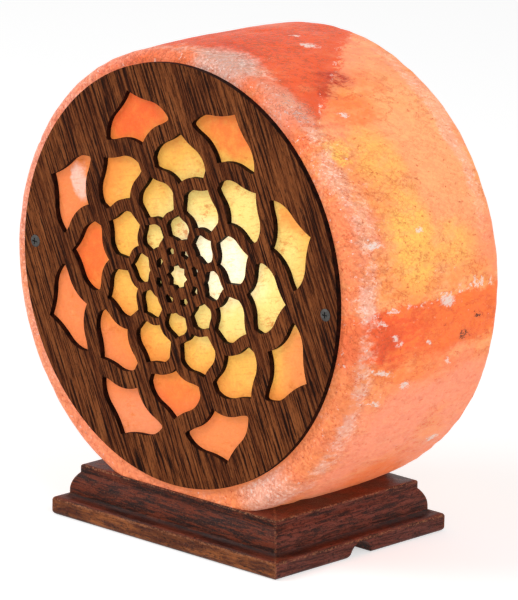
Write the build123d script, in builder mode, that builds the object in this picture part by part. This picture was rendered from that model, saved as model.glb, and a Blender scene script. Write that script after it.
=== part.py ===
from build123d import *
import math
import os

# Salt crystal lamp: a thick disc of rock salt on a moulded hardwood plinth, with a round
# lotus-fretwork board screwed to its front face and a small screw-base bulb inside it.
# Millimetres. +Z is up, -Y is the front. The origin is the middle of the plinth's underside,
# and the Z axis is the axis of the bulb, its holder and the cavity bored up into the salt.

# ---------------------------------------------------------------- plinth
slab_width = 145.0
slab_depth = 117.4
slab_height = 9.0
slab_top_round = 1.8
slab_bottom_round = 2.2
plinth_height = 25.0
cove_inset = 3.2
cove_height = 1.8
belly_inset = 5.8
belly_foot_height = 1.4
lip_inset = 9.4
lip_height = 4.0
lip_round = 1.2

recess_radius = 33.0
recess_height = 10.0
plinth_bore_radius = 23.0
groove_width = 15.2
groove_height = 7.0
groove_near_round = 5.0
groove_far_round = 1.5

# ---------------------------------------------------------------- salt drum
drum_radius = 112.0
drum_centre_rise = 100.0
drum_front_depth = 49.2
drum_back_depth = 51.8
drum_front_round = 5.5
drum_back_round = 7.0
drum_crown = 1.2
cavity_radius = 28.0
cavity_headroom = 10.0
cavity_dome_height = 16.0

# ---------------------------------------------------------------- lotus panel
panel_radius = 100.0
panel_thickness = 3.0
panel_centre_rise = 4.0
petals_in_ring = 8
outer_tip_radius = 89.5
second_tip_share = 0.765
third_tip_share = 0.705
fourth_tip_share = 0.615
eyelet_tip_share = 0.539
outer_strip_width = 8.4
second_strip_width = 5.7
third_strip_width = 3.4
eyelet_strip_width = 3.8
eyelet_inset = 1.3
rosette_share = 0.675
star_share = 0.41
petal_corner_round = 1.2

# ---------------------------------------------------------------- panel fixings
panel_screw_spacing = 185.8
panel_screw_head_radius = 2.9
panel_screw_dome = 0.6
panel_screw_shank_radius = 1.5
panel_screw_length = 25.0
panel_anchor_radius = 3.0
panel_anchor_length = 24.0
screw_clearance = 0.15
anchor_clearance = 0.1
plug_clearance = 0.1
plug_slot_width = 0.8
cross_slot_length = 3.0
cross_slot_width = 0.6
cross_slot_depth = 1.0

# ---------------------------------------------------------------- plinth fixings
base_screw_spacing_x = 76.0
base_screw_spacing_y = 60.0
base_screw_shank_radius = 2.2
base_screw_head_radius = 4.4
base_screw_head_height = 2.6
base_screw_length = 42.0
base_screw_sink = 4.0
base_screw_pocket_radius = 5.4
base_anchor_radius = 4.0
base_anchor_length = 32.0

# ---------------------------------------------------------------- bulb holder
holder_bottom = 15.0
cap_radius = 14.5
cap_height = 18.0
cap_floor = 2.0
cap_wall = 1.6
cap_rim_height = 3.0
cap_rim_bore = 11.0
cap_foot_round = 3.0
skirt_radius = 13.6
skirt_wall = 1.5
skirt_height = 42.0
skirt_mouth_radius = 8.4
skirt_lip_height = 2.0
skirt_round = 1.0
block_height = 10.0
block_clearance = 0.2
shell_bore_radius = 7.05
shell_wall = 0.4
shell_height = 26.0
shell_floor_bore = 4.8
terminal_screw_spacing = 15.0
terminal_screw_radius = 1.5
terminal_screw_head_radius = 2.6
terminal_screw_head_height = 1.6
terminal_screw_shortfall = 2.0
tongue_width = 4.0
tongue_thickness = 0.4
tongue_reach = 3.6
bush_bore_radius = 3.4
bush_tube_radius = 5.0
bush_flange_radius = 8.0
bush_flange_height = 2.0
bush_round = 0.6
nut_radius = 7.5
nut_height = 2.5
bush_clearance = 0.1

# ---------------------------------------------------------------- spring clip
clip_thickness = 0.8
clip_width = 14.0
clip_bore_clearance = 0.3
clip_floor_reach = 14.0
clip_grip_rise = 6.0
clip_crown_rise = 13.0
clip_end_rise = 19.0
clip_crown_inset = 1.4
clip_end_reach = 17.2
clip_bend_radius = 1.6

# ---------------------------------------------------------------- bulb
bulb_length = 100.0
bulb_turns = 5
thread_pitch = 2.822
bulb_cap_radius = 6.95
bulb_cap_wall = 0.3
tip_radius = 2.4
tip_height = 1.8
tip_neck_radius = 1.2
insulator_height = 3.4
insulator_top_radius = 6.3
cap_collar_height = 25.5
tongue_gap = 0.2
glass_belly_radius = 17.5
glass_belly_rise = 27.0
glass_neck_radius = 6.5
glass_neck_rise = 5.0
glass_tip_radius = 4.5
glass_wall = 0.7
glass_neck_depth = 4.0
stem_foot_height = 0.8
stem_clearance = 0.3
stem_waist_radius = 3.2
stem_height = 22.0
stem_rod_radius = 0.9
stem_rod_height = 12.0
stem_top_radius = 1.5
lead_wire_radius = 0.35
lead_spread = 7.0
lead_foot = 1.6
wire_gap = 0.05
filament_rise = 18.0
filament_radius = 0.45
filament_drop = 5.0

os.makedirs("parts", exist_ok=True)

# ---------------------------------------------------------------- levels and planes worked out
drum_centre_height = plinth_height + drum_centre_rise
panel_centre_height = drum_centre_height + panel_centre_rise
second_tip_radius = second_tip_share * outer_tip_radius
third_tip_radius = third_tip_share * second_tip_radius
fourth_tip_radius = fourth_tip_share * third_tip_radius
eyelet_tip_radius = eyelet_tip_share * fourth_tip_radius
rosette_radius = rosette_share * eyelet_tip_radius
star_radius = star_share * eyelet_tip_radius
cap_top = holder_bottom + cap_height
block_top = cap_top + block_height
bulb_tip_level = block_top + 3.0
bulb_top = bulb_tip_level + bulb_length
bulb_travel = bulb_turns * thread_pitch
cavity_top = bulb_top + bulb_travel + cavity_headroom
insulator_bottom = bulb_tip_level + tip_height
insulator_top = insulator_bottom + insulator_height
collar_top = bulb_tip_level + cap_collar_height
glass_bottom = collar_top - glass_neck_depth
stem_top = glass_bottom + stem_height
button_level = stem_top + stem_rod_height
filament_level = stem_top + filament_rise
skirt_top = cap_top + skirt_height
bush_bottom = holder_bottom - clip_thickness - bush_flange_height
clip_grip_reach = (
    math.sqrt((plinth_bore_radius - clip_bore_clearance) ** 2 - (clip_width / 2) ** 2) - clip_thickness / 2
)

drum_front = Plane(origin=(0, -drum_front_depth, panel_centre_height), x_dir=(1, 0, 0), z_dir=(0, -1, 0))
drum_section = Plane(origin=(0, 0, drum_centre_height), x_dir=(0, 1, 0), z_dir=(1, 0, 0))
drum_axis = Axis((0, 0, drum_centre_height), (0, 1, 0))
panel_front = drum_front.offset(panel_thickness)
screw_seat = Plane(origin=(0, 0, base_screw_sink), x_dir=(1, 0, 0), z_dir=(0, 0, -1))
anchor_seat = Plane(origin=(0, 0, plinth_height), x_dir=(1, 0, 0), z_dir=(0, 0, -1))
terminal_seat = Plane(origin=(0, 0, cap_top), x_dir=(1, 0, 0), z_dir=(0, 0, -1))


def turned(profile_points, plane=Plane.XZ):
    """A closed half-section given as (radius, height) points, ready to revolve."""
    with BuildSketch(plane) as section:
        with BuildLine():
            Polyline(*profile_points, close=True)
        make_face()
    return section.sketch


# ================================================================ plinth
def plinth_section(plane, half_width):
    """The moulded block seen end-on: slab, small cove, swelling belly and square lip."""
    cove_foot = (half_width - cove_inset, slab_height)
    belly_foot = (half_width - belly_inset, slab_height + cove_height)
    belly_side = (half_width - belly_inset, slab_height + cove_height + belly_foot_height)
    lip = half_width - lip_inset
    lip_bottom = plinth_height - lip_height
    with BuildSketch(plane) as section:
        with BuildLine():
            Line((0, 0), (half_width - slab_bottom_round, 0))
            JernArc((half_width - slab_bottom_round, 0), (1, 0), slab_bottom_round, 90)
            Line((half_width, slab_bottom_round), (half_width, slab_height - slab_top_round))
            JernArc((half_width, slab_height - slab_top_round), (0, 1), slab_top_round, 90)
            Line((half_width - slab_top_round, slab_height), cove_foot)
            TangentArc(cove_foot, belly_foot, tangent=(-1, 0))
            Line(belly_foot, belly_side)
            TangentArc(belly_side, (lip, lip_bottom), tangent=(0, 1))
            Line((lip, lip_bottom), (lip, plinth_height - lip_round))
            JernArc((lip, plinth_height - lip_round), (0, 1), lip_round, 90)
            Line((lip - lip_round, plinth_height), (0, plinth_height))
            mirror(about=Plane.YZ)
        make_face()
    return section.sketch


with BuildPart() as base_plinth:
    # One block moulded on all four sides: the end-on section of each pair of sides, crossed.
    extrude(plinth_section(Plane.XZ, slab_width / 2), amount=slab_depth / 2, both=True)
    extrude(plinth_section(Plane.YZ, slab_depth / 2), amount=slab_width / 2, both=True, mode=Mode.INTERSECT)
    # Stepped bore for the bulb holder.
    with BuildSketch():
        Circle(recess_radius)
    extrude(amount=recess_height, mode=Mode.SUBTRACT)
    with BuildSketch():
        Circle(plinth_bore_radius)
    extrude(amount=plinth_height, mode=Mode.SUBTRACT)
    # Arched groove that lets a cord out under the +X side, its two feet eased by hand.
    with BuildSketch(Plane.YZ) as groove:
        with BuildLine():
            ThreePointArc((-groove_width / 2, 0), (0, groove_height), (groove_width / 2, 0))
            Line((groove_width / 2, 0), (-groove_width / 2, 0))
        make_face()
        Rectangle(3 * groove_width, groove_height, align=(Align.CENTER, Align.MAX))
        feet = groove.vertices().filter_by_position(Axis.Y, -0.001, 0.001).sort_by(Axis.X)
        fillet(feet[1], radius=groove_near_round)
        feet = groove.vertices().filter_by_position(Axis.Y, -0.001, 0.001).sort_by(Axis.X)
        fillet(feet[-2], radius=groove_far_round)
    extrude(amount=slab_width / 2, mode=Mode.SUBTRACT)
    # Through holes for the screws that hold the salt, with pockets that sink their heads.
    with BuildSketch():
        with GridLocations(base_screw_spacing_x, base_screw_spacing_y, 2, 2):
            Circle(base_screw_shank_radius + screw_clearance)
    extrude(amount=plinth_height, mode=Mode.SUBTRACT)
    with BuildSketch():
        with GridLocations(base_screw_spacing_x, base_screw_spacing_y, 2, 2):
            Circle(base_screw_pocket_radius)
    extrude(amount=base_screw_sink, mode=Mode.SUBTRACT)
base_plinth.part.label = "base_plinth"
export_step(base_plinth.part, "parts/base_plinth.step")


# ================================================================ salt drum
with BuildPart() as salt_drum:
    # The disc is turned about its own level axis, its rim crowned and its two edges rounded.
    front = -drum_front_depth
    back = drum_back_depth
    rim_front = drum_radius - drum_crown
    with BuildSketch(drum_section):
        with BuildLine():
            Line((front, 0), (front, rim_front - drum_front_round))
            JernArc((front, rim_front - drum_front_round), (0, 1), drum_front_round, -90)
            Spline(
                (front + drum_front_round, rim_front),
                ((front + back) / 2, drum_radius),
                (back - drum_back_round, rim_front),
            )
            JernArc((back - drum_back_round, rim_front), (1, 0), drum_back_round, -90)
            Line((back, rim_front - drum_back_round), (back, 0))
            Line((back, 0), (front, 0))
        make_face()
    revolve(axis=drum_axis)
    # Sawn flat where it stands on the plinth.
    split(bisect_by=Plane.XY.offset(plinth_height), keep=Keep.TOP)
    # The bulb cavity, bored up from the flat and left with a domed end.
    with BuildSketch(Plane.XZ):
        with BuildLine():
            Line((0, plinth_height), (cavity_radius, plinth_height))
            Line((cavity_radius, plinth_height), (cavity_radius, cavity_top - cavity_dome_height))
            Spline(
                (cavity_radius, cavity_top - cavity_dome_height),
                (0, cavity_top),
                tangents=((0, 1), (-1, 0)),
            )
            Line((0, cavity_top), (0, plinth_height))
        make_face()
    revolve(axis=Axis.Z, mode=Mode.SUBTRACT)
    # Blind holes for the plugs that the panel's and the plinth's screws bite into.
    with BuildSketch(drum_front):
        with GridLocations(panel_screw_spacing, 1, 2, 1):
            Circle(panel_anchor_radius + anchor_clearance)
    extrude(amount=-panel_anchor_length - anchor_clearance, mode=Mode.SUBTRACT)
    with BuildSketch(Plane.XY.offset(plinth_height)):
        with GridLocations(base_screw_spacing_x, base_screw_spacing_y, 2, 2):
            Circle(base_anchor_radius + anchor_clearance)
    extrude(amount=base_anchor_length + anchor_clearance, mode=Mode.SUBTRACT)
salt_drum.part.label = "salt_drum"
export_step(salt_drum.part, "parts/salt_drum.step")


# ================================================================ lotus panel
def petal(tip):
    """A lotus petal along +X with its tip at this radius: hollow flanks, full shoulders.

    The drawing is the same for every ring, scaled by the tip's radius. It runs to the
    panel's centre, where the next ring's petals lie over it.
    """
    flank_start = (tip, 0)
    flank_middle = (0.950 * tip, 0.062 * tip)
    flank_end = (0.911 * tip, 0.134 * tip)
    shoulder_middle = (0.861 * tip, 0.204 * tip)
    shoulder = (0.780 * tip, 0.243 * tip)
    with BuildSketch() as outline:
        with BuildLine():
            ThreePointArc(flank_start, flank_middle, flank_end)
            ThreePointArc(flank_end, shoulder_middle, shoulder)
            Line(shoulder, (0, 0))
            mirror(about=Plane.XZ)
        make_face()
    return outline.sketch


def petal_opening(tip, inner_tip, strip_width):
    """One opening: a petal cut back by the two petals of the next ring and their strip."""
    half_step = 180 / petals_in_ring
    with BuildSketch() as covered:
        with PolarLocations(0, 2, start_angle=-half_step, angular_range=4 * half_step):
            add(petal(inner_tip))
        offset(amount=strip_width)
    with BuildSketch() as opening:
        add(petal(tip))
        add(covered.sketch, mode=Mode.SUBTRACT)
        corners = opening.vertices().sort_by(Axis.X)[1:-1].sort_by(Axis.Y)
        side = min(edge.length for edge in opening.edges() if corners[-1] in edge.vertices())
        fillet([corners[0], corners[-1]], radius=min(petal_corner_round, 0.5 * side))
    return opening.sketch


def eyelet_opening():
    """One of the smallest openings, between the fourth ring and the rosette."""
    with BuildSketch() as opening:
        add(petal(eyelet_tip_radius))
        offset(amount=-eyelet_inset, mode=Mode.REPLACE)
        Circle(rosette_radius, mode=Mode.SUBTRACT)
    return opening.sketch


with BuildPart() as lotus_panel:
    half_step = 180 / petals_in_ring
    rings = [
        (petal_opening(outer_tip_radius, second_tip_radius, outer_strip_width), half_step),
        (petal_opening(second_tip_radius, third_tip_radius, second_strip_width), 0),
        (petal_opening(third_tip_radius, fourth_tip_radius, third_strip_width), half_step),
        (petal_opening(fourth_tip_radius, eyelet_tip_radius, eyelet_strip_width), 0),
        (eyelet_opening(), half_step),
    ]
    with BuildSketch(drum_front):
        Circle(panel_radius)
        for opening, first_angle in rings:
            with PolarLocations(0, petals_in_ring, start_angle=first_angle):
                add(opening, mode=Mode.SUBTRACT)
        # The eight-pointed star in the middle is two squares, an eighth of a turn apart.
        with PolarLocations(0, 2, angular_range=90):
            RegularPolygon(star_radius, 4, mode=Mode.SUBTRACT)
    extrude(amount=panel_thickness)
    with Locations(panel_front):
        with GridLocations(panel_screw_spacing, 1, 2, 1):
            CounterSinkHole(
                panel_screw_shank_radius + screw_clearance,
                panel_screw_head_radius + screw_clearance,
                counter_sink_angle=90,
            )
lotus_panel.part.label = "lotus_panel"
export_step(lotus_panel.part, "parts/lotus_panel.step")


# ================================================================ screws and plugs
def crown(radius, base_height, rise):
    """A low dome for a turned profile, from the axis to its rim: part of a sphere."""
    sphere_radius = (radius**2 + rise**2) / (2 * abs(rise))
    spread = math.degrees(math.asin(radius / sphere_radius))
    return JernArc((0, base_height + rise), (1, 0), sphere_radius, math.copysign(spread, -rise))


def countersunk_screw(shank_radius, head_radius, dome, length):
    """A wood screw along -Z, its raised countersunk head level with Z 0, with a cross slot."""
    with BuildPart() as screw:
        with BuildSketch(Plane.XZ):
            with BuildLine():
                crown(head_radius, 0, dome)
                Polyline(
                    (head_radius, 0),
                    (shank_radius, shank_radius - head_radius),
                    (shank_radius, 2 * shank_radius - length),
                    (0, -length),
                    (0, dome),
                )
            make_face()
        revolve(axis=Axis.Z)
        with BuildSketch(Plane.XY.offset(dome)):
            with PolarLocations(0, 2, angular_range=180):
                Rectangle(cross_slot_length, cross_slot_width)
        extrude(amount=-cross_slot_depth, mode=Mode.SUBTRACT)
    return screw.part


def pan_head_screw(shank_radius, head_radius, head_height, length, point_height):
    """A screw along -Z whose rounded head stands on Z 0, with a straight driving slot."""
    with BuildPart() as screw:
        with BuildSketch(Plane.XZ):
            with BuildLine():
                Polyline(
                    (0, head_height),
                    (0, -length),
                    (0.2 * shank_radius, -length),
                    (shank_radius, point_height - length),
                    (shank_radius, 0),
                    (head_radius, 0),
                    (head_radius, 0.4 * head_height),
                )
                crown(head_radius, 0.4 * head_height, 0.6 * head_height)
            make_face()
        revolve(axis=Axis.Z)
        with BuildSketch(Plane.XY.offset(head_height)):
            Rectangle(2 * head_radius, cross_slot_width)
        extrude(amount=-0.5 * head_height, mode=Mode.SUBTRACT)
    return screw.part


def wall_plug(outer_radius, screw_radius, length):
    """A split plastic plug along -Z with its mouth at Z 0."""
    with BuildPart() as plug:
        with BuildSketch():
            Circle(outer_radius)
            Circle(screw_radius + plug_clearance, mode=Mode.SUBTRACT)
        extrude(amount=-length)
        with BuildSketch(Plane.XY.offset(-length)):
            Rectangle(2 * outer_radius, plug_slot_width)
        extrude(amount=0.7 * length, mode=Mode.SUBTRACT)
    return plug.part


with BuildPart() as panel_screws:
    with Locations(panel_front):
        with GridLocations(panel_screw_spacing, 1, 2, 1):
            add(
                countersunk_screw(
                    panel_screw_shank_radius,
                    panel_screw_head_radius,
                    panel_screw_dome,
                    panel_screw_length,
                )
            )
panel_screws.part.label = "panel_screws"
export_step(panel_screws.part, "parts/panel_screws.step")

with BuildPart() as panel_anchors:
    with Locations(drum_front):
        with GridLocations(panel_screw_spacing, 1, 2, 1):
            add(wall_plug(panel_anchor_radius, panel_screw_shank_radius, panel_anchor_length))
panel_anchors.part.label = "panel_anchors"
export_step(panel_anchors.part, "parts/panel_anchors.step")

with BuildPart() as base_screws:
    with Locations(screw_seat):
        with GridLocations(base_screw_spacing_x, base_screw_spacing_y, 2, 2):
            add(
                pan_head_screw(
                    base_screw_shank_radius,
                    base_screw_head_radius,
                    base_screw_head_height,
                    base_screw_length,
                    2 * base_screw_shank_radius,
                )
            )
base_screws.part.label = "base_screws"
export_step(base_screws.part, "parts/base_screws.step")

with BuildPart() as base_anchors:
    with Locations(anchor_seat):
        with GridLocations(base_screw_spacing_x, base_screw_spacing_y, 2, 2):
            add(wall_plug(base_anchor_radius, base_screw_shank_radius, base_anchor_length))
base_anchors.part.label = "base_anchors"
export_step(base_anchors.part, "parts/base_anchors.step")


# ================================================================ bulb holder
with BuildPart() as holder_cap:
    # The holder's lower cup, with a thicker rim that carries the terminal block and skirt.
    with BuildSketch(Plane.XY.offset(holder_bottom)):
        Circle(cap_radius)
    extrude(amount=cap_height)
    fillet(holder_cap.faces().sort_by(Axis.Z)[0].edges(), radius=cap_foot_round)
    with BuildSketch(Plane.XY.offset(holder_bottom + cap_floor)):
        Circle(cap_radius - cap_wall)
    extrude(amount=cap_height - cap_floor - cap_rim_height, mode=Mode.SUBTRACT)
    with BuildSketch(Plane.XY.offset(cap_top)):
        Circle(cap_rim_bore)
    extrude(amount=-cap_rim_height, mode=Mode.SUBTRACT)
    with BuildSketch(Plane.XY.offset(holder_bottom)):
        Circle(bush_tube_radius + bush_clearance)
    extrude(amount=cap_floor, mode=Mode.SUBTRACT)
holder_cap.part.label = "holder_cap"
export_step(holder_cap.part, "parts/holder_cap.step")

with BuildPart() as holder_skirt:
    # The insulating sleeve round the screw shell, turned in at its mouth.
    with BuildSketch(Plane.XY.offset(cap_top)):
        Circle(skirt_radius)
        Circle(skirt_radius - skirt_wall, mode=Mode.SUBTRACT)
    extrude(amount=skirt_height)
    with BuildSketch(Plane.XY.offset(skirt_top)):
        Circle(skirt_radius)
        Circle(skirt_mouth_radius, mode=Mode.SUBTRACT)
    extrude(amount=-skirt_lip_height)
    fillet(holder_skirt.faces().sort_by(Axis.Z)[-1].outer_wire().edges(), radius=skirt_round)
holder_skirt.part.label = "holder_skirt"
export_step(holder_skirt.part, "parts/holder_skirt.step")

with BuildPart() as terminal_block:
    with BuildSketch(Plane.XY.offset(cap_top)):
        Circle(skirt_radius - skirt_wall - block_clearance)
        with GridLocations(terminal_screw_spacing, 1, 2, 1):
            Circle(terminal_screw_radius + screw_clearance, mode=Mode.SUBTRACT)
    extrude(amount=block_height)
terminal_block.part.label = "terminal_block"
export_step(terminal_block.part, "parts/terminal_block.step")

with BuildPart() as terminal_screws:
    with Locations(terminal_seat):
        with GridLocations(terminal_screw_spacing, 1, 2, 1):
            add(
                pan_head_screw(
                    terminal_screw_radius,
                    terminal_screw_head_radius,
                    terminal_screw_head_height,
                    block_height - terminal_screw_shortfall,
                    terminal_screw_radius,
                )
            )
terminal_screws.part.label = "terminal_screws"
export_step(terminal_screws.part, "parts/terminal_screws.step")

with BuildPart() as screw_shell:
    with BuildSketch(Plane.XY.offset(block_top)):
        Circle(shell_bore_radius + shell_wall)
        Circle(shell_bore_radius, mode=Mode.SUBTRACT)
    extrude(amount=shell_height)
    with BuildSketch(Plane.XY.offset(block_top)):
        Circle(shell_bore_radius + shell_wall)
        Circle(shell_floor_bore, mode=Mode.SUBTRACT)
    extrude(amount=shell_wall)
screw_shell.part.label = "screw_shell"
export_step(screw_shell.part, "parts/screw_shell.step")

with BuildPart() as contact_tongue:
    # A bent leaf that stands on the block inside the shell's floor and meets the bulb's tip.
    foot_level = block_top + tongue_thickness / 2
    crown_level = bulb_tip_level - tongue_gap - tongue_thickness / 2
    with BuildLine(Plane.XZ) as leaf:
        FilletPolyline(
            (-tongue_reach, foot_level),
            (-0.6 * tongue_reach, foot_level),
            (-0.25 * tongue_reach, crown_level),
            (0.35 * tongue_reach, crown_level),
            (0.5 * tongue_reach, crown_level - 2 * tongue_thickness),
            radius=tongue_thickness,
        )
    with BuildSketch(Plane(origin=leaf.line @ 0, x_dir=(0, 1, 0), z_dir=leaf.line % 0)):
        Rectangle(tongue_width, tongue_thickness)
    sweep(path=leaf.line)
contact_tongue.part.label = "contact_tongue"
export_step(contact_tongue.part, "parts/contact_tongue.step")

with BuildPart() as cord_bush:
    # The inlet for the cord: a flanged tube that clamps the clip under the holder's cup.
    with BuildSketch(Plane.XY.offset(bush_bottom)):
        Circle(bush_flange_radius)
    extrude(amount=bush_flange_height)
    with BuildSketch(Plane.XY.offset(bush_bottom)):
        Circle(bush_tube_radius)
    extrude(amount=bush_flange_height + clip_thickness + cap_floor + nut_height)
    with BuildSketch(Plane.XY.offset(bush_bottom)):
        Circle(bush_bore_radius)
    extrude(amount=bush_flange_height + clip_thickness + cap_floor + nut_height, mode=Mode.SUBTRACT)
    fillet(cord_bush.edges().filter_by(GeomType.CIRCLE).group_by(Axis.Z)[0], radius=bush_round)
cord_bush.part.label = "cord_bush"
export_step(cord_bush.part, "parts/cord_bush.step")

with BuildPart() as bush_nut:
    with BuildSketch(Plane.XY.offset(holder_bottom + cap_floor)):
        RegularPolygon(nut_radius, 6)
        Circle(bush_tube_radius + bush_clearance, mode=Mode.SUBTRACT)
    extrude(amount=nut_height)
bush_nut.part.label = "bush_nut"
export_step(bush_nut.part, "parts/bush_nut.step")

with BuildPart() as clip_spring:
    # One strip of spring steel: flat under the cup, its two wings bowed out to the plinth's bore.
    clip_level = holder_bottom - clip_thickness / 2
    with BuildLine(Plane.YZ) as wing:
        FilletPolyline(
            (0, clip_level),
            (clip_floor_reach, clip_level),
            (clip_grip_reach, clip_level + clip_grip_rise),
            (clip_grip_reach - clip_crown_inset, clip_level + clip_crown_rise),
            (clip_end_reach, clip_level + clip_end_rise),
            radius=clip_bend_radius,
        )
    with BuildSketch(Plane(origin=wing.line @ 0, x_dir=(1, 0, 0), z_dir=wing.line % 0)):
        Rectangle(clip_width, clip_thickness)
    sweep(path=wing.line)
    mirror(about=Plane.XZ)
    with BuildSketch(Plane.XY.offset(holder_bottom)):
        Circle(bush_tube_radius + bush_clearance)
    extrude(amount=-clip_thickness, mode=Mode.SUBTRACT)
clip_spring.part.label = "clip_spring"
export_step(clip_spring.part, "parts/clip_spring.step")


# ================================================================ bulb
def glass_outline(inset):
    """Half of the candle-shaped glass, seen from the side and drawn in by this much."""
    neck = glass_neck_radius - inset
    belly = glass_belly_radius - inset
    tip = glass_tip_radius - inset
    neck_top = collar_top + glass_neck_rise
    belly_level = collar_top + glass_belly_rise
    rise = bulb_top - glass_tip_radius - belly_level
    flank = (belly**2 + rise**2 - tip**2) / (2 * (belly - tip))
    lean = math.degrees(math.atan2(rise, flank - belly))
    with BuildSketch(Plane.XZ) as outline:
        with BuildLine():
            Polyline((0, bulb_top - inset), (0, glass_bottom), (neck, glass_bottom), (neck, neck_top))
            TangentArc((belly, belly_level), (neck, neck_top), tangent=(0, -1))
            side = JernArc((belly, belly_level), (0, 1), flank, lean)
            JernArc(side @ 1, side % 1, tip, 90 - lean)
        make_face()
    return outline.sketch


with BuildPart() as bulb_glass:
    revolve(glass_outline(0), axis=Axis.Z)
    revolve(glass_outline(glass_wall), axis=Axis.Z, mode=Mode.SUBTRACT)
bulb_glass.part.label = "bulb_glass"
export_step(bulb_glass.part, "parts/bulb_glass.step")

with BuildPart() as bulb_cap:
    with BuildSketch(Plane.XY.offset(insulator_top)):
        Circle(bulb_cap_radius)
        Circle(bulb_cap_radius - bulb_cap_wall, mode=Mode.SUBTRACT)
    extrude(amount=collar_top - insulator_top)
    with BuildSketch(Plane.XY.offset(insulator_top)):
        Circle(bulb_cap_radius)
        Circle(tip_radius, mode=Mode.SUBTRACT)
    extrude(amount=bulb_cap_wall)
bulb_cap.part.label = "bulb_cap"
export_step(bulb_cap.part, "parts/bulb_cap.step")

with BuildPart() as bulb_insulator:
    revolve(
        turned(
            [
                (tip_neck_radius + bush_clearance, insulator_bottom),
                (tip_radius + 0.5, insulator_bottom),
                (insulator_top_radius, insulator_top),
                (tip_neck_radius + bush_clearance, insulator_top),
            ]
        ),
        axis=Axis.Z,
    )
bulb_insulator.part.label = "bulb_insulator"
export_step(bulb_insulator.part, "parts/bulb_insulator.step")

with BuildPart() as bulb_contact:
    # The solder tip: round, so it looks the same however far the bulb has turned.
    with BuildSketch(Plane.XZ):
        with BuildLine():
            Line((0, bulb_tip_level), (0, insulator_top))
            Line((0, insulator_top), (tip_neck_radius, insulator_top))
            Line((tip_neck_radius, insulator_top), (tip_neck_radius, insulator_bottom))
            Line((tip_neck_radius, insulator_bottom), (tip_radius, insulator_bottom))
            crown(tip_radius, insulator_bottom, -tip_height)
        make_face()
    revolve(axis=Axis.Z)
bulb_contact.part.label = "bulb_contact"
export_step(bulb_contact.part, "parts/bulb_contact.step")

with BuildLine() as filament_line:
    ThreePointArc(
        (-lead_spread, 0, filament_level),
        (0, lead_spread, filament_level + filament_drop),
        (lead_spread, 0, filament_level),
    )
filament_arc = filament_line.line

with BuildPart() as bulb_filament:
    with BuildSketch(Plane(origin=filament_arc @ 0, z_dir=filament_arc % 0)):
        Circle(filament_radius)
    sweep(path=filament_arc)
bulb_filament.part.label = "bulb_filament"
export_step(bulb_filament.part, "parts/bulb_filament.step")

with BuildPart() as lead_wires:
    with BuildLine() as lead_path:
        FilletPolyline(
            (lead_foot, 0, stem_top - 1.0),
            (lead_foot, 0, stem_top + 2.0),
            (lead_spread, 0, filament_level - 4.0),
            (lead_spread, 0, filament_level - filament_radius - wire_gap),
            radius=1.0,
        )
    with BuildSketch(Plane(origin=lead_path.line @ 0, z_dir=(0, 0, 1))):
        Circle(lead_wire_radius)
    sweep(path=lead_path.line)
    mirror(about=Plane.YZ)
lead_wires.part.label = "lead_wires"
export_step(lead_wires.part, "parts/lead_wires.step")

with BuildPart() as support_wires:
    for share in (0.3, 0.7):
        wire_foot = Vector(0, 0, button_level + stem_top_radius / 2)
        wire_line = Line(wire_foot, filament_arc @ share, mode=Mode.PRIVATE)
        with BuildSketch(Plane(origin=wire_foot, z_dir=wire_line % 0)):
            Circle(lead_wire_radius)
        sweep(path=wire_line)
    add(bulb_filament.part, mode=Mode.SUBTRACT)
support_wires.part.label = "support_wires"
export_step(support_wires.part, "parts/support_wires.step")

with BuildPart() as bulb_stem:
    # The glass flare that closes the neck, drawn up to a rod with a button on its end.
    revolve(
        turned(
            [
                (0, glass_bottom - stem_foot_height),
                (glass_neck_radius, glass_bottom - stem_foot_height),
                (glass_neck_radius, glass_bottom),
                (glass_neck_radius - glass_wall - stem_clearance, glass_bottom),
                (stem_waist_radius, glass_bottom + 0.3 * stem_height),
                (0.7 * stem_waist_radius, stem_top),
                (stem_rod_radius, stem_top + 1.0),
                (stem_rod_radius, button_level),
                (stem_top_radius, button_level),
                (stem_top_radius, button_level + stem_top_radius),
                (0, button_level + stem_top_radius),
            ]
        ),
        axis=Axis.Z,
    )
    add(lead_wires.part, mode=Mode.SUBTRACT)
    add(support_wires.part, mode=Mode.SUBTRACT)
bulb_stem.part.label = "bulb_stem"
export_step(bulb_stem.part, "parts/bulb_stem.step")
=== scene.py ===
import math

import bmesh
import bpy
from mathutils import Matrix, Vector, noise


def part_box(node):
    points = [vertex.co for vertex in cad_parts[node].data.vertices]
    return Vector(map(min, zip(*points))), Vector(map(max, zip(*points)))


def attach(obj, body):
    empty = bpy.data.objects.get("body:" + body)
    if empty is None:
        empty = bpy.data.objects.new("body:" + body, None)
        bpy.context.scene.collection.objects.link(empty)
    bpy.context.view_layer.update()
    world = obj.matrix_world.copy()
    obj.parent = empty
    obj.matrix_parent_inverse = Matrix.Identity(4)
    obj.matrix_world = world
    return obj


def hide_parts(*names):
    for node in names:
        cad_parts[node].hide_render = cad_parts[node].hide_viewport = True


# The salt lamp's looks. The solids come from the frame; this script adds the worn surface of
# the salt, the threads and the coiled filament, the materials, the light and the camera.
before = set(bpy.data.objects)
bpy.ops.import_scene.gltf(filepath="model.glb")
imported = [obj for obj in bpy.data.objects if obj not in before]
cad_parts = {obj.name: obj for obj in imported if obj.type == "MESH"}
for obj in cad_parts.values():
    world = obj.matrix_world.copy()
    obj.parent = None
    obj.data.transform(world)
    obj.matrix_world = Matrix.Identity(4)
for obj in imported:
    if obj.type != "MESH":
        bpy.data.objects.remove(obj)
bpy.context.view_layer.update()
MM = 0.001

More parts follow.
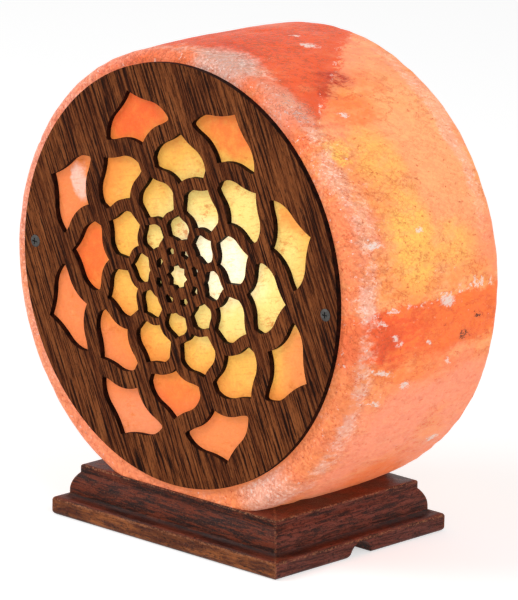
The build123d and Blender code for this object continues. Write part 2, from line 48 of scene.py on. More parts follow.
# ------ sizes read from the frame
drum_low, drum_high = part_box("salt_drum")
DRUM_RADIUS = (drum_high.x - drum_low.x) / 2
DRUM_CENTRE = drum_high.z - DRUM_RADIUS
DRUM_FRONT = drum_low.y
DRUM_BACK = drum_high.y
DRUM_FOOT = drum_low.z
panel_low, panel_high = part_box("lotus_panel")
PANEL_CENTRE = (panel_low.z + panel_high.z) / 2
plinth_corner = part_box("base_plinth")[1]
PLINTH_HALF_X = plinth_corner.x / MM
PLINTH_HALF_Y = plinth_corner.y / MM


# ------ node helpers
NOISE_MIDDLE = 0.5


class Nodes:
    """A node tree, with short calls for the nodes that the looks below use."""

    def __init__(self, tree):
        self.tree = tree

    def new(self, kind, **settings):
        node = self.tree.nodes.new(kind)
        for key, value in settings.items():
            setattr(node, key, value)
        return node

    def put(self, value, socket):
        """Links an output to the socket, or writes a plain value on it, a colour as opaque."""
        if isinstance(value, bpy.types.NodeSocket):
            self.tree.links.new(value, socket)
        elif value is not None:
            socket.default_value = (*value, 1.0) if socket.type == "RGBA" else value

    def math(self, operation, a, b=None, c=None):
        node = self.new("ShaderNodeMath", operation=operation)
        for value, socket in zip((a, b, c), node.inputs):
            self.put(value, socket)
        return node.outputs[0]

    def plus(self, a, b):
        return self.math("ADD", a, b)

    def minus(self, a, b):
        return self.math("SUBTRACT", a, b)

    def times(self, a, b):
        return self.math("MULTIPLY", a, b)

    def from_level(self, value, level):
        """How far the value is from a level, either way."""
        return self.math("ABSOLUTE", self.minus(value, level))

    def length(self, u, v):
        return self.math("SQRT", self.math("MULTIPLY_ADD", u, u, self.times(v, v)))

    def most_of(self, *values):
        result = values[0]
        for value in values[1:]:
            result = self.math("MAXIMUM", result, value)
        return result

    def vector(self, operation, a, b):
        node = self.new("ShaderNodeVectorMath", operation=operation)
        self.put(a, node.inputs[0])
        self.put(b, node.inputs[1])
        return node.outputs["Vector"]

    def split(self, vector):
        """A vector's x, y and z."""
        node = self.new("ShaderNodeSeparateXYZ")
        self.put(vector, node.inputs[0])
        return node.outputs

    def ramp(self, value, low, high, start=0.0, end=1.0):
        """Maps low..high smoothly onto start..end."""
        node = self.new("ShaderNodeMapRange", interpolation_type="SMOOTHSTEP")
        self.put(value, node.inputs["Value"])
        for name, number in (("From Min", low), ("From Max", high), ("To Min", start), ("To Max", end)):
            self.put(number, node.inputs[name])
        return node.outputs[0]

    def seen_only(self):
        """1 for the rays that show a thing: the camera's own, and those by way of metal or glass."""
        path = self.new("ShaderNodeLightPath").outputs
        return self.most_of(path["Is Camera Ray"], path["Is Glossy Ray"], path["Is Transmission Ray"])


class Shader(Nodes):
    """A material with a principled surface."""

    def __init__(self, name):
        self.material = bpy.data.materials.new(name)
        self.material.use_nodes = True
        super().__init__(self.material.node_tree)
        self.surface = self.tree.nodes["Principled BSDF"]
        self.object_place = self.new("ShaderNodeTexCoord").outputs["Object"]

    def millimetres(self):
        """The place on the piece as x, y and z in mm."""
        return self.split(self.vector("MULTIPLY", self.object_place, (1 / MM,) * 3))

    def facing(self):
        """Which way the surface looks, as x, y and z."""
        return self.split(self.new("ShaderNodeNewGeometry").outputs["True Normal"])

    def place(self, scale, rotation=(0, 0, 0)):
        """Object coordinates turned, then stretched: a frequency per metre on each axis."""
        turned = self.new("ShaderNodeMapping", vector_type="POINT")
        self.put(self.object_place, turned.inputs["Vector"])
        turned.inputs["Rotation"].default_value = rotation
        return self.vector("MULTIPLY", turned.outputs[0], scale)

    def noise(self, place, detail=3.0, roughness=0.5, distortion=0.0, output="Fac"):
        node = self.new("ShaderNodeTexNoise")
        self.put(place, node.inputs["Vector"])
        node.inputs["Scale"].default_value = 1.0
        node.inputs["Detail"].default_value = detail
        node.inputs["Roughness"].default_value = roughness
        node.inputs["Distortion"].default_value = distortion
        return node.outputs[output]

    def cell_edges(self, place):
        """The distance to the nearest border in a mesh of random cells."""
        node = self.new("ShaderNodeTexVoronoi", feature="DISTANCE_TO_EDGE")
        self.put(place, node.inputs["Vector"])
        node.inputs["Scale"].default_value = 1.0
        return node.outputs["Distance"]

    def mix(self, share, a, b, blend="MIX"):
        node = self.new("ShaderNodeMix", data_type="RGBA", blend_type=blend)
        self.put(share, node.inputs[0])
        self.put(a, node.inputs[6])
        self.put(b, node.inputs[7])
        return node.outputs[2]

    def bump(self, height, depth, strength):
        node = self.new("ShaderNodeBump")
        self.put(height, node.inputs["Height"])
        node.inputs["Distance"].default_value = depth
        node.inputs["Strength"].default_value = strength
        return node.outputs[0]

    def set(self, **values):
        """Writes the principled shader's sockets; underscores stand for spaces."""
        for key, value in values.items():
            self.put(value, self.surface.inputs[key.replace("_", " ")])
        return self.material


def linear(level):
    """One channel as seen on a screen, 0..255, in linear light by the standard curve."""
    share = level / 255
    return share / 12.92 if share <= 0.04045 else ((share + 0.055) / 1.055) ** 2.4


def rgb(red, green, blue):
    """A screen colour as the linear value that a shader takes."""
    return linear(red), linear(green), linear(blue)


def add_object(name, data):
    piece = bpy.data.objects.new(name, data)
    bpy.context.collection.objects.link(piece)
    return piece


def dress(node, material):
    """Gives a CAD node its material."""
    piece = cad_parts[node]
    piece.data.materials.clear()
    piece.data.materials.append(material)


# ------ camera
IMAGE_LONG_SIDE = 600
FOCAL_PIXELS = 5500
SENSOR_WIDTH = 36
CLIP_NEAR = 0.1
CLIP_FAR = 50
CAMERA_AZIMUTH = math.radians(42.74)
CAMERA_ELEVATION = math.radians(14.51)
CAMERA_DISTANCE = 2.5801
CAMERA_TARGET = Vector((3.81 * MM, 0, 109.75 * MM))
CAMERA_ROLL = math.radians(1.38)


def make_camera():
    data = bpy.data.cameras.new("camera")
    data.sensor_width = SENSOR_WIDTH
    data.lens = FOCAL_PIXELS * SENSOR_WIDTH / IMAGE_LONG_SIDE
    data.clip_start = CLIP_NEAR
    data.clip_end = CLIP_FAR
    camera = add_object("camera", data)
    back = Vector((
        math.sin(CAMERA_AZIMUTH) * math.cos(CAMERA_ELEVATION),
        -math.cos(CAMERA_AZIMUTH) * math.cos(CAMERA_ELEVATION),
        math.sin(CAMERA_ELEVATION),
    ))
    right = (-back).cross(Vector((0, 0, 1))).normalized()
    up = right.cross(-back)
    rolled_right = right * math.cos(CAMERA_ROLL) + up * math.sin(CAMERA_ROLL)
    rolled_up = up * math.cos(CAMERA_ROLL) - right * math.sin(CAMERA_ROLL)
    turn = Matrix((rolled_right, rolled_up, back)).transposed().to_4x4()
    camera.matrix_world = Matrix.Translation(CAMERA_TARGET + back * CAMERA_DISTANCE) @ turn
    bpy.context.scene.camera = camera


make_camera()


# ------ salt: its surface
SALT_STEPS_ROUND = 640
SALT_STEPS_ACROSS = 110
SALT_STEPS_FACE = 46
FRONT_ROUND = 5.5 * MM
FRONT_ROUND_STEPS = 8
BACK_ROUND = 7.0 * MM
BACK_ROUND_STEPS = 10
RIM_CROWN = 1.2 * MM

WAVE_DEPTH = 1.3 * MM
WAVE_FREQUENCY = 22
CHISEL_DEPTH = 0.55 * MM
CHISEL_FREQUENCY = Vector((95, 40, 95))
PIT_DEPTH = 0.5 * MM
PIT_FREQUENCY = 190
PIT_LEVEL = 0.35
PIT_FRACTAL = (0.7, 2.1, 4)
CHIP_DEPTH = 6.4 * MM
CHIP_FREQUENCY = 60
CHIP_SHIFT = Vector((3, 1, 7))
CHIP_LEVEL = 0.25
EDGE_PULL = 0.35

CAVITY_RADIUS = 28 * MM
CAVITY_ROOM = 24.1 * MM
CAVITY_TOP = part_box("bulb_glass")[1].z + CAVITY_ROOM
CAVITY_DOME = 16 * MM
CAVITY_DOME_STEPS = 12
CAVITY_STEPS_ROUND = 96
CAVITY_OVERSHOOT = 5 * MM
PLUG_PLAY = 0.1 * MM
PLUG_STEPS_ROUND = 32
PLUG_OVERSHOOT = 2 * MM
BASE_PLUG_RADIUS = 4.0 * MM


def drum_profile():
    """The turned outline as (radius, y) from the middle of the front to the middle of the back."""
    front_edge = DRUM_RADIUS - RIM_CROWN - FRONT_ROUND
    back_edge = DRUM_RADIUS - RIM_CROWN - BACK_ROUND
    rim_front = DRUM_FRONT + FRONT_ROUND
    rim_back = DRUM_BACK - BACK_ROUND
    points = [(front_edge * (k / SALT_STEPS_FACE), DRUM_FRONT) for k in range(1, SALT_STEPS_FACE)]
    for k in range(FRONT_ROUND_STEPS + 1):
        angle = math.radians(90 * k / FRONT_ROUND_STEPS)
        radius = front_edge + FRONT_ROUND * math.sin(angle)
        points.append((radius, DRUM_FRONT + FRONT_ROUND * (1 - math.cos(angle))))
    for k in range(1, SALT_STEPS_ACROSS):
        share = k / SALT_STEPS_ACROSS
        crown = RIM_CROWN * (1 - (2 * share - 1) ** 2)
        points.append((DRUM_RADIUS - RIM_CROWN + crown, rim_front + (rim_back - rim_front) * share))
    for k in range(BACK_ROUND_STEPS + 1):
        angle = math.radians(90 * k / BACK_ROUND_STEPS)
        points.append((back_edge + BACK_ROUND * math.cos(angle), rim_back + BACK_ROUND * math.sin(angle)))
    points += [(back_edge * (1 - k / SALT_STEPS_FACE), DRUM_BACK) for k in range(1, SALT_STEPS_FACE)]
    return points


def salt_wear(place, rim):
    """How far the hewn surface lies below the turned one. rim is 1 on the rim, 0 on the sawn faces."""
    wave = 0.5 + 0.5 * noise.noise(place * WAVE_FREQUENCY)
    chisel = abs(noise.noise(place * CHISEL_FREQUENCY))
    pit = max(0.0, noise.fractal(place * PIT_FREQUENCY, *PIT_FRACTAL) - PIT_LEVEL)
    chip = max(0.0, noise.noise(place * CHIP_FREQUENCY + CHIP_SHIFT) - CHIP_LEVEL)
    return rim * (WAVE_DEPTH * wave + CHISEL_DEPTH * chisel + PIT_DEPTH * pit + CHIP_DEPTH * chip * chip)


def build_salt():
    profile = drum_profile()
    rows = len(profile)
    vertices = [Vector((0, DRUM_FRONT, DRUM_CENTRE))]
    for radius, y in profile:
        on_rim = min(1.0, max(0.0, (radius - (DRUM_RADIUS - RIM_CROWN - BACK_ROUND)) / FRONT_ROUND))
        for step in range(SALT_STEPS_ROUND):
            angle = math.tau * step / SALT_STEPS_ROUND
            place = Vector((radius * math.sin(angle), y, DRUM_CENTRE + radius * math.cos(angle)))
            depth = salt_wear(place, on_rim)
            inward = (radius - depth) / radius
            edge_pull = EDGE_PULL * depth * (1 if y > 0 else -1) if on_rim < 1 else 0
            vertices.append(Vector((
                place.x * inward,
                place.y - edge_pull,
                DRUM_CENTRE + (place.z - DRUM_CENTRE) * inward,
            )))
    vertices.append(Vector((0, DRUM_BACK, DRUM_CENTRE)))
    last = len(vertices) - 1
    faces = []
    for step in range(SALT_STEPS_ROUND):
        after = (step + 1) % SALT_STEPS_ROUND
        faces.append((0, 1 + step, 1 + after))
        for row in range(rows - 1):
            a, b = 1 + row * SALT_STEPS_ROUND, 1 + (row + 1) * SALT_STEPS_ROUND
            faces.append((a + step, b + step, b + after, a + after))
        end = 1 + (rows - 1) * SALT_STEPS_ROUND
        faces.append((end + step, last, end + after))
    mesh = bpy.data.meshes.new("salt_body")
    mesh.from_pydata(vertices, [], faces)
    mesh.update()
    salt = add_object("salt_crystal", mesh)
    stand_flat(salt)
    hollow_out(salt)
    return salt


def stand_flat(salt):
    """Saws the drum off level where it stands on the plinth."""
    work = bmesh.new()
    work.from_mesh(salt.data)
    every = work.verts[:] + work.edges[:] + work.faces[:]
    cut = bmesh.ops.bisect_plane(
        work, geom=every, plane_co=(0, 0, DRUM_FOOT), plane_no=(0, 0, -1), clear_outer=True
    )
    rim = [e for e in cut["geom_cut"] if isinstance(e, bmesh.types.BMEdge)]
    bmesh.ops.edgeloop_fill(work, edges=rim)
    bmesh.ops.recalc_face_normals(work, faces=work.faces)
    work.to_mesh(salt.data)
    work.free()


def turned_mesh(name, profile, steps):
    """A closed body turned about the Z axis from (radius, z) points that start and end on it."""
    work = bmesh.new()
    rings = []
    for radius, z in profile:
        angles = [math.tau * k / steps for k in range(steps if radius else 1)]
        rings.append([work.verts.new((radius * math.cos(a), radius * math.sin(a), z)) for a in angles])
    for lower, upper in zip(rings, rings[1:]):
        for k in range(steps):
            j = (k + 1) % steps
            corners = [ring[m % len(ring)] for ring, m in ((lower, k), (lower, j), (upper, j), (upper, k))]
            work.faces.new(list(dict.fromkeys(corners)))
    bmesh.ops.recalc_face_normals(work, faces=work.faces)
    mesh = bpy.data.meshes.new(name)
    work.to_mesh(mesh)
    work.free()
    return mesh


def plug_holes():
    """Each plug's hole as (mouth, end, radius): two in the front, four in the foot."""
    low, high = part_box("panel_anchors")
    radius = (high.z - low.z) / 2
    for x in (low.x + radius, high.x - radius):
        mouth = Vector((x, DRUM_FRONT - PLUG_OVERSHOOT, PANEL_CENTRE))
        yield mouth, Vector((x, high.y + PLUG_PLAY, PANEL_CENTRE)), radius
    low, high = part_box("base_anchors")
    for x in (low.x + BASE_PLUG_RADIUS, high.x - BASE_PLUG_RADIUS):
        for y in (low.y + BASE_PLUG_RADIUS, high.y - BASE_PLUG_RADIUS):
            mouth = Vector((x, y, DRUM_FOOT - PLUG_OVERSHOOT))
            yield mouth, Vector((x, y, high.z + PLUG_PLAY)), BASE_PLUG_RADIUS


def hollow_out(salt):
    """Takes the bulb's cavity and the plugs' holes out of the salt."""
    foot = DRUM_FOOT - CAVITY_OVERSHOOT
    dome_start = CAVITY_TOP - CAVITY_DOME
    profile = [(0, foot), (CAVITY_RADIUS, foot)]
    for k in range(CAVITY_DOME_STEPS):
        angle = math.radians(90 * k / CAVITY_DOME_STEPS)
        profile.append((CAVITY_RADIUS * math.cos(angle), dome_start + CAVITY_DOME * math.sin(angle)))
    profile.append((0, CAVITY_TOP))
    tool = add_object("cavity_tool", turned_mesh("cavity_tool", profile, CAVITY_STEPS_ROUND))
    work = bmesh.new()
    work.from_mesh(tool.data)
    for mouth, end, radius in plug_holes():
        run = end - mouth
        turn = run.to_track_quat("Z", "Y").to_matrix().to_4x4()
        bmesh.ops.create_cone(
            work, cap_ends=True, segments=PLUG_STEPS_ROUND,
            radius1=radius + PLUG_PLAY, radius2=radius + PLUG_PLAY,
            depth=run.length, matrix=Matrix.Translation((mouth + end) / 2) @ turn,
        )
    work.to_mesh(tool.data)
    work.free()
    cut = salt.modifiers.new("cavity", "BOOLEAN")
    cut.operation = "DIFFERENCE"
    cut.solver = "EXACT"
    cut.object = tool
    evaluated = salt.evaluated_get(bpy.context.evaluated_depsgraph_get())
    finished = bpy.data.meshes.new_from_object(evaluated)
    salt.modifiers.clear()
    salt.data = finished
    bpy.data.objects.remove(tool)


salt = build_salt()
for face in salt.data.polygons:
    face.use_smooth = True
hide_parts("salt_drum")
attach(salt, "base")


# ------ rolled threads
THREAD_PITCH = 2.822 * MM
THREAD_ROOT = 6.3 * MM
THREAD_PLAY = 0.1 * MM
THREAD_RUN_OUT = 1.5 * MM
CAP_WALL = 0.3 * MM
CAP_RUN_IN = 1.2 * MM
CAP_COLLAR = 5.1 * MM
SHELL_WALL = 0.4 * MM
SHELL_HOLE = 4.8 * MM
SHELL_RUN_IN = (1 * MM, 2.2 * MM)
SLEEVE_RING_STEP = 0.2 * MM
SLEEVE_STEPS_ROUND = 72
SHARP_CORNER = math.radians(50)
cap_low, cap_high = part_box("bulb_cap")
shell_low, shell_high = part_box("screw_shell")
CAP_RADIUS = cap_high.x
TIP_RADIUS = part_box("bulb_contact")[1].x
COLLAR_FOOT = cap_high.z - CAP_COLLAR
THREAD_END = COLLAR_FOOT - THREAD_RUN_OUT


def fade(z, start, end):
    """0 up to start and 1 from end on, in a smooth step."""
    share = min(1.0, max(0.0, (z - start) / (end - start)))
    return share * share * (3 - 2 * share)


def knuckle(angle, z):
    """The rounded lamp thread, right-handed: its radius at an angle and a height."""
    turn = z / THREAD_PITCH - angle / math.tau
    return THREAD_ROOT + (CAP_RADIUS - THREAD_ROOT) * (0.5 - 0.5 * math.cos(math.tau * turn))


def cap_outside(angle, z):
    ribbed = fade(z, cap_low.z, cap_low.z + CAP_RUN_IN)
    thread = THREAD_ROOT + (knuckle(angle, z) - THREAD_ROOT) * ribbed
    return thread + (CAP_RADIUS - thread) * fade(z, THREAD_END, COLLAR_FOOT)


def cap_inside(angle, z):
    return cap_outside(angle, z) - CAP_WALL


def shell_inside(angle, z):
    plain = shell_high.x - SHELL_WALL
    ribbed = fade(z, shell_low.z + SHELL_RUN_IN[0], shell_low.z + SHELL_RUN_IN[1])
    ribbed *= fade(z, THREAD_END, THREAD_END - THREAD_RUN_OUT)
    return plain + (knuckle(angle, z) + THREAD_PLAY - plain) * ribbed


def shell_outside(angle, z):
    return shell_inside(angle, z) + SHELL_WALL


def rolled_sleeve(name, outside, inside, low, high, wall, hole):
    """A thin threaded cup: up the outside, down the inside and in to the hole in its floor."""
    count = round((high - low) / SLEEVE_RING_STEP)
    levels = [low + (high - low) * k / count for k in range(count + 1)]
    rings = [(outside, z) for z in levels]
    rings += [(inside, max(z, low + wall)) for z in reversed(levels[1:])]
    rings += [(lambda angle, z: hole, low + wall), (lambda angle, z: hole, low)]
    steps = SLEEVE_STEPS_ROUND
    vertices = []
    for radius_at, z in rings:
        for k in range(steps):
            angle = math.tau * k / steps
            radius = radius_at(angle, z)
            vertices.append((radius * math.cos(angle), radius * math.sin(angle), z))
    faces = []
    for ring in range(len(rings)):
        start = ring * steps
        above = (ring + 1) % len(rings) * steps
        for k in range(steps):
            j = (k + 1) % steps
            faces.append((start + k, start + j, above + j, above + k))
    return solid_object(name, vertices, faces)


def solid_object(name, vertices, faces):
    """An object from a closed mesh, smooth except at its sharp corners."""
    mesh = bpy.data.meshes.new(name)
    mesh.from_pydata(vertices, [], faces)
    work = bmesh.new()
    work.from_mesh(mesh)
    bmesh.ops.recalc_face_normals(work, faces=work.faces)
    for face in work.faces:
        face.smooth = True
    for edge in work.edges:
        edge.smooth = edge.calc_face_angle(0) < SHARP_CORNER
    work.to_mesh(mesh)
    work.free()
    return add_object(name, mesh)


threaded_cap = rolled_sleeve(
    "rolled_bulb_cap", cap_outside, cap_inside, cap_low.z, cap_high.z, CAP_WALL, TIP_RADIUS
)
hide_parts("bulb_cap")
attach(threaded_cap, "bulb")

threaded_shell = rolled_sleeve(
    "rolled_screw_shell", shell_outside, shell_inside, shell_low.z, shell_high.z, SHELL_WALL, SHELL_HOLE
)
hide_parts("screw_shell")
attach(threaded_shell, "holder")


# ------ coiled filament
FILAMENT_TURNS = 84
FILAMENT_STEPS = 12
FILAMENT_COIL = 0.36 * MM
FILAMENT_WIRE = 0.08 * MM
FILAMENT_SIDES = 6
FILAMENT_RISE = 5 * MM
FILAMENT_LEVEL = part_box("lead_wires")[1].z + 0.5 * MM
FILAMENT_END_DROP = 0.48 * MM
LEAD_SPREAD = 7 * MM


def filament_path():
    """The coil's middle line: a helix on the arc that leans over the stem from lead to lead."""
    rise = Vector((0, LEAD_SPREAD, FILAMENT_RISE))
    height = rise.length
    sink = (height * height - LEAD_SPREAD * LEAD_SPREAD) / (2 * height)
    radius = height - sink
    across = Vector((1, 0, 0))
    up = rise.normalized()
    side = across.cross(up)
    middle = Vector((0, 0, FILAMENT_LEVEL)) + up * sink
    half_sweep = math.atan2(LEAD_SPREAD, -sink)
    points = [Vector((-LEAD_SPREAD, 0, FILAMENT_LEVEL - FILAMENT_END_DROP))]
    count = FILAMENT_TURNS * FILAMENT_STEPS
    for k in range(count + 1):
        sweep = half_sweep * (2 * k / count - 1)
        out = across * math.sin(sweep) + up * math.cos(sweep)
        turn = math.tau * k / FILAMENT_STEPS
        coil_out = out * (radius + FILAMENT_COIL * math.cos(turn))
        coil_side = side * (FILAMENT_COIL * math.sin(turn))
        points.append(middle + coil_out + coil_side)
    points.append(Vector((LEAD_SPREAD, 0, FILAMENT_LEVEL - FILAMENT_END_DROP)))
    return points


def wire_object(name, points, radius, sides):
    """A round wire along the points, closed at both ends."""
    vertices = []
    faces = []
    side = Vector((0, 1, 0))
    for k, point in enumerate(points):
        run = (points[min(k + 1, len(points) - 1)] - points[max(k - 1, 0)]).normalized()
        side = (side - run * side.dot(run)).normalized()
        other = run.cross(side)
        for j in range(sides):
            angle = math.tau * j / sides
            vertices.append(point + side * (radius * math.cos(angle)) + other * (radius * math.sin(angle)))
    for k in range(len(points) - 1):
        for j in range(sides):
            a = k * sides + j
            b = k * sides + (j + 1) % sides
            faces.append((a, b, b + sides, a + sides))
    faces.append(tuple(range(sides)))
    faces.append(tuple(range(len(vertices) - sides, len(vertices))))
    return solid_object(name, vertices, faces)


coiled_filament = wire_object("coiled_filament", filament_path(), FILAMENT_WIRE, FILAMENT_SIDES)
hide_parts("bulb_filament")
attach(coiled_filament, "bulb")


# ------ salt: its colours
# A zone on the rim is its middle (degrees round from the top, y in mm) and its half sizes, then
# its strength and the softness of its border where they aren't 1.0 and 0.5. A zone on a sawn
# face has its middle as (x, z) in mm.
FACE_WANDER = 26
JAGGED_DEGREES = 4.5
JAGGED_MM_PER_DEGREE = 2.5
FLAKE_SOFTNESS = 0.4

SALMON = rgb(248, 144, 102)
ORANGE = rgb(247, 148, 82)
PEACH = rgb(250, 170, 112)
DUSTY_PINK = rgb(249, 148, 114)
GOLD = rgb(251, 188, 92)
EMBER = rgb(246, 124, 64)
FLUSH = rgb(226, 104, 78)
RED = rgb(240, 96, 50)
DARK_RED = rgb(212, 72, 30)
LIGHT_RED = rgb(248, 120, 58)
BRUISE = rgb(176, 48, 26)
CHALK = rgb(244, 190, 170)
ASH = rgb(198, 160, 148)
SCRAPE = rgb(146, 78, 62)
CRACK = rgb(180, 76, 38)
CRACKLE = rgb(196, 108, 62)
FRECKLE = rgb(178, 74, 40)
SOIL = rgb(84, 44, 30)
WHITE_CRYSTAL_AND_GLINT = rgb(250, 228, 216)

CHALKY_ZONES = (
    ((10, -42), (9, 11)), ((31, -43), (7, 7), 0.6), ((54, -43), (6, 5), 0.7),
    ((66, -36), (7, 7), 0.45), ((84, -42), (5, 5), 0.95), ((116, -43), (4, 4), 0.8),
    ((148, -46), (9, 7)), ((168, -44), (6, 4), 0.6), ((45, 42), (24, 5), 0.5),
    ((-25, 30), (14, 20), 0.6), ((-75, -46), (60, 6), 0.5),
)
PEACH_ZONE = ((50, 22), (26, 24), 0.75)
GOLDEN_ZONES = (
    ((47, -33), (3.5, 7)), ((51, -14), (8, 13), 0.65), ((71, -9), (12, 14)),
    ((75, 16), (5, 16), 0.65), ((-95, 5), (26, 30), 0.7), ((-150, 10), (14, 22), 0.5),
)
EMBER_ZONES = (
    ((37, -12), (4.5, 16), 0.95), ((30, 12), (5, 12), 0.5), ((104, -4), (4, 34), 0.6),
    ((143, 16), (10, 26), 0.8), ((-45, -20), (14, 22), 0.7), ((-125, 0), (13, 40), 0.7),
)
FLUSHED_ZONE = ((-52, -46), (46, 12), 0.8, 0.3)
FAR_RED_ZONE = ((-70, -8), (9, 30), 0.85)
BRUISED_ZONES = (
    ((27, -4), (3.2, 7), 1.0, 0.6), ((30, -13), (3, 5), 0.8, 0.6),
    ((96, -28), (3.5, 7), 0.5, 0.6), ((2, -24), (8, 3), 0.35, 0.6),
)
ASHEN_ZONE = ((10, -42), (8, 10))
SCRAPED_ZONES = (
    ((33, -40), (7, 9)), ((17, -45), (12, 5), 0.5), ((108, -44), (20, 4), 0.35),
)
CRACKLED_ZONES = (
    ((66, -16), (12, 24)), ((50, -26), (7, 16), 0.7), ((74, 14), (8, 20), 0.5),
)
# Small white flakes on the rim: partly white crystal, partly painted glints.
WHITE_FLAKES_AND_GLINTS = (
    ((88, 12), (1.3, 5)), ((71.5, -34), (0.9, 4)), ((70, -4), (0.6, 2.2)), ((12.5, 9), (1.5, 3)),
    ((6, 13), (0.8, 1.6)), ((130, 34), (1.0, 4)), ((107.5, -12), (0.9, 2.6)), ((102.5, -29), (0.5, 5)),
    ((111, -30), (0.5, 4)), ((104, 16), (0.7, 1.3)), ((94.5, -23), (0.7, 1.6)), ((96.5, -20), (0.5, 2)),
    ((91, -32), (0.5, 3)), ((97.5, 0), (0.6, 1.2)), ((38.5, -16), (0.7, 2.6)),
)
SOIL_SPECKS = (((98, 25), (1.2, 3)), ((94, 34), (0.8, 3)))

# The red at the top ends at a slanting seam. The red band across the side has two borders, each
# from where the red fades out to where it is full, in degrees.
TOP_SEAM_ANGLE = 25.5
TOP_SEAM_SLOPE = -0.38
BAND_START = (86.4, 88.0)
BAND_END = (102.5, 98.0)

# Where the sawn faces begin, from none to all of their colour: by y, and by the radius round the
# drum's middle.
FRONT_FACE_Y = (-48.4, -48.9)
FRONT_FACE_RADIUS = (99.5, 96)
BACK_FACE_Y = (49.0, 51.2)
BACK_FACE_RADIUS = (108, 101)

# The glow on the front: rings round its middle (x, z), each from the radius where it fades out
# to the one where it is full.
GLOW_MIDDLE = (25, 137)
GLOW_DROP = -1.4
GLOW_WANDER = 34
GLOW_EDGE = (84, 102)
GLOW_EDGE_COLOURS = (rgb(247, 144, 64), rgb(245, 134, 78))
GLOW_RINGS = (
    (86, 58, rgb(251, 186, 84)),
    (58, 36, rgb(253, 220, 128)),
    (34, 8, rgb(255, 244, 204)),
)
FACE_CLOUD = rgb(251, 176, 110)
FACE_RED = rgb(246, 100, 46)
FACE_RED_ZONES = (
    ((-36, 202), (30, 16), 0.95), ((30, 203), (22, 10), 0.75),
    ((-58, 126), (11, 17), 0.8), ((2, 70), (22, 9), 0.5),
    ((70, 168), (8, 6), 0.4),
)
FACE_TINTS_UNDER_RED = (
    (((80, 104), (17, 17), 0.9), rgb(246, 146, 80)),
    (((34, 60), (30, 14), 0.5), rgb(247, 142, 78)),
)
FACE_TINTS_OVER_RED = (
    (((-28, 52), (30, 13), 0.6), rgb(247, 146, 104)),
    (((-66, 163), (6, 8), 0.8, 0.3), rgb(246, 200, 182)),
)
FACE_COMB = rgb(222, 126, 50)
FACE_STAIN = rgb(206, 112, 44)
BACK_GLOW_LEVEL = 105
BACK_COLOURS = (rgb(246, 134, 84), rgb(249, 152, 100))
BACK_CLOUD = rgb(250, 170, 116)
BACK_GLOW_RINGS = ((74, 40, rgb(251, 182, 92)), (44, 12, rgb(253, 214, 128)))
BACK_RED = rgb(241, 100, 54)
BACK_RED_ZONES = (((52, 180), (26, 18), 0.8), ((-72, 96), (16, 30), 0.6))


class SaltLook(Shader):
    """Salt colours are laid out in drum coordinates: degrees round from the top, and y in mm."""

    def __init__(self):
        super().__init__("rock_salt")
        self.x, self.y, self.z = self.millimetres()
        up = self.minus(self.z, DRUM_CENTRE / MM)
        self.angle = self.math("DEGREES", self.math("ARCTAN2", self.x, up))
        self.radius = self.length(self.x, up)

        self.cloud = self.noise(self.place((20, 14, 20)), detail=5, roughness=0.6)
        self.mottle = self.noise(self.place((120, 60, 120)), detail=9, roughness=0.72)
        self.hatch = self.noise(self.place((620, 170, 620), (0.5, 0, 0.4)), detail=5, roughness=0.7)
        self.grain = self.noise(self.place((900, 620, 900)), detail=3, roughness=0.8)
        ragged = self.noise(self.place((280, 120, 280)), detail=6, roughness=0.75)
        self.ragged = self.minus(ragged, NOISE_MIDDLE)

        # Wandering coordinates, so that no zone has a drawn outline.
        stray = self.noise(self.place((45, 40, 45)), detail=8, roughness=0.66, output="Color")
        shift = self.split(self.vector("SUBTRACT", stray, (NOISE_MIDDLE,) * 3))
        self.around = self.wander(self.angle, shift[0], 11, 10)
        self.along = self.wander(self.y, shift[1], 18, 14)
        jagged = self.noise(self.place((780, 420, 780)), detail=4, roughness=0.75)
        jagged = self.times(self.minus(jagged, NOISE_MIDDLE), JAGGED_DEGREES)
        self.near_angle = self.plus(self.wander(self.angle, shift[0], 5, 4), jagged)
        jagged = self.times(jagged, JAGGED_MM_PER_DEGREE)
        self.near_y = self.plus(self.wander(self.y, shift[1], 4, 8), jagged)
        self.front_x = self.math("MULTIPLY_ADD", shift[0], FACE_WANDER, self.x)
        self.front_z = self.math("MULTIPLY_ADD", shift[2], FACE_WANDER, self.z)

    def wander(self, place, shift, wide, fine):
        return self.math("MULTIPLY_ADD", shift, wide, self.math("MULTIPLY_ADD", self.ragged, fine, place))

    def oval(self, u, v, middle, size, share=1.0, soft=0.5):
        """share inside an oval round the middle, falling to 0 outside it."""
        u = self.math("DIVIDE", self.minus(u, middle[0]), size[0])
        v = self.math("DIVIDE", self.minus(v, middle[1]), size[1])
        return self.ramp(self.length(u, v), 1 + soft, 1 - soft, 0.0, share)

    def patches(self, *zones):
        """Zones on the rim, with wandering outlines."""
        return self.most_of(*[self.oval(self.around, self.along, *zone) for zone in zones])

    def face_patches(self, *zones):
        """Zones on a sawn face."""
        return self.most_of(*[self.oval(self.front_x, self.front_z, *zone) for zone in zones])

    def flakes(self, *zones):
        """Small zones on the rim that stay near their place, with jagged outlines."""
        return self.most_of(*[
            self.oval(self.near_angle, self.near_y, middle, size, soft=FLAKE_SOFTNESS)
            for middle, size in zones
        ])

    def stripe(self, middle, slope, half_width, soft):
        """1 along a line over the rim whose angle changes with y."""
        line = self.math("MULTIPLY_ADD", self.near_y, slope, middle)
        away = self.from_level(self.near_angle, line)
        return self.ramp(away, half_width + soft, half_width)


def top_seam(look):
    """How many degrees a place lies before the seam that ends the red zone at the top."""
    line = look.math("MULTIPLY_ADD", look.near_y, TOP_SEAM_SLOPE, TOP_SEAM_ANGLE)
    return look.minus(line, look.near_angle)


